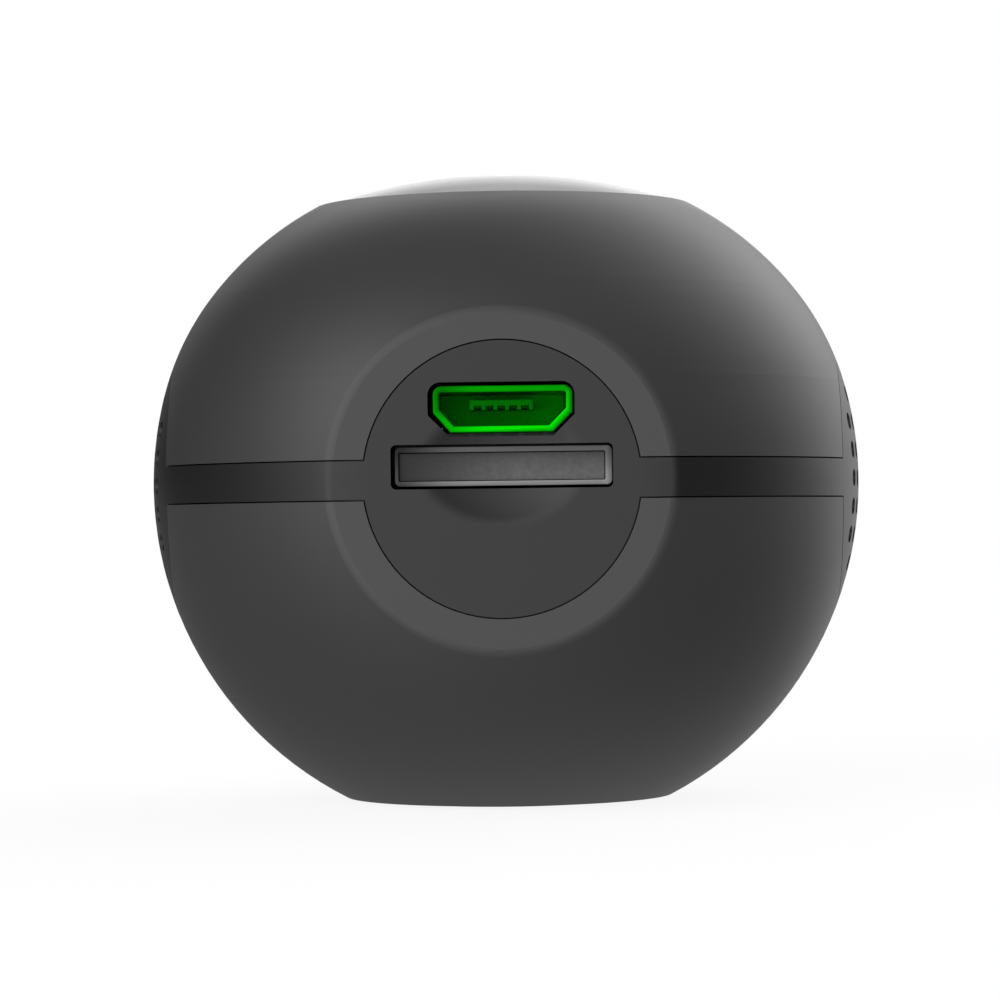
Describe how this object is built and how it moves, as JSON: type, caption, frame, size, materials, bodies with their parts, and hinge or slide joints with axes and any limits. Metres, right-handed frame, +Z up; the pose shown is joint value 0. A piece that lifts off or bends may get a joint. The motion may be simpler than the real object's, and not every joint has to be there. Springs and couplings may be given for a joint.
{
  "type": "mini camera",
  "caption": "Ball-shaped mini camera with a glossy lens window on top, a central belt, side grilles, a green micro USB port and a card slot, standing on a flat base.",
  "frame": {"origin": "centre of the foot ring's underside, where the camera rests", "axes": "+Z up through the lens, -Y out of the port face, +X to the right when the port face is seen"},
  "size_m": [0.042, 0.0374, 0.0371],
  "materials": {
    "shell_plastic": "fine matte charcoal moulding",
    "frame_plastic": "smooth satin charcoal moulding",
    "window_glass": "clear, polished",
    "lens_glass": "clear with a faint coating tint",
    "filter_glass": "pale blue-green",
    "light_clear": "frosted clear",
    "black_plastic": "matt black",
    "black_metal": "matt black anodised",
    "green_metal": "bright green, satin",
    "green_plastic": "green insulator",
    "contact_metal": "plated contact",
    "socket_steel": "stamped steel",
    "tray_metal": "fine grey",
    "card_plastic": "black card",
    "board_green": "green circuit board",
    "chip_black": "moulded chip",
    "sensor_ceramic": "dark ceramic package",
    "part_ceramic": "tan ceramic parts",
    "screen_steel": "tinned steel",
    "socket_plastic": "ivory connector plastic",
    "mesh_fabric": "black woven dust mesh",
    "foam": "black foam",
    "rubber": "black rubber",
    "battery_foil": "laminated foil pouch",
    "flex_film": "amber film",
    "screw_steel": "plain steel",
    "insert_brass": "turned brass",
    "lamp_white": "white lamp body"
  },
  "bodies": {
    "casing": {"upper_shell": "shell_plastic", "lower_shell": "shell_plastic", "middle_frame": "frame_plastic", "lens_dome": "window_glass", "dome_seal": "rubber", "lens_baffle": "black_plastic", "lens_barrel": "black_metal", "lens_lock_ring": "black_metal", "front_element": "lens_glass", "second_element": "lens_glass", "third_element": "lens_glass", "fourth_element": "lens_glass", "front_spacer": "black_metal", "rear_spacer": "black_metal", "aperture_ring": "black_metal", "lens_holder": "black_plastic", "infrared_filter": "filter_glass", "image_sensor": "sensor_ceramic", "main_board": "board_green", "board_parts": "part_ceramic", "usb_shell": "green_metal", "usb_insulator": "green_plastic", "usb_contacts": "contact_metal", "card_socket_cover": "socket_steel", "card_socket_base": "black_plastic", "card_contacts": "contact_metal", "processor": "chip_black", "memory_chip": "chip_black", "shield_can": "screen_steel", "flex_sockets": "socket_plastic", "left_mesh": "mesh_fabric", "right_mesh": "mesh_fabric", "speaker_gasket": "foam", "speaker": "black_plastic", "microphone_gasket": "rubber", "microphone_board": "board_green", "microphone": "screen_steel", "battery": "battery_foil", "battery_cradle": "black_plastic", "battery_pad": "foam", "battery_flex": "flex_film", "speaker_flex": "flex_film", "microphone_flex": "flex_film", "tact_switch": "screen_steel", "button_board": "board_green", "board_header": "socket_plastic", "status_led": "lamp_white", "light_pipe": "light_clear", "tripod_insert": "insert_brass", "foot_ring": "rubber", "case_screws": "screw_steel", "holder_screws": "screw_steel", "button_board_screws": "screw_steel"},
    "card_tray": {"card_tray": "tray_metal", "memory_card": "card_plastic"},
    "shutter_button": {"shutter_button": "frame_plastic", "switch_plunger": "black_plastic"}
  },
  "joints": [
    {"name": "card_slide", "type": "slide", "parent": "casing", "child": "card_tray", "axis": [0, -1, 0], "range_m": [-0.0006, 0.012]},
    {"name": "shutter_press", "type": "slide", "parent": "casing", "child": "shutter_button", "axis": [0, -1, 0], "range_m": [0, 0.0003], "stiffness_N_per_m": 2000, "springref_m": -0.0003}
  ]
}
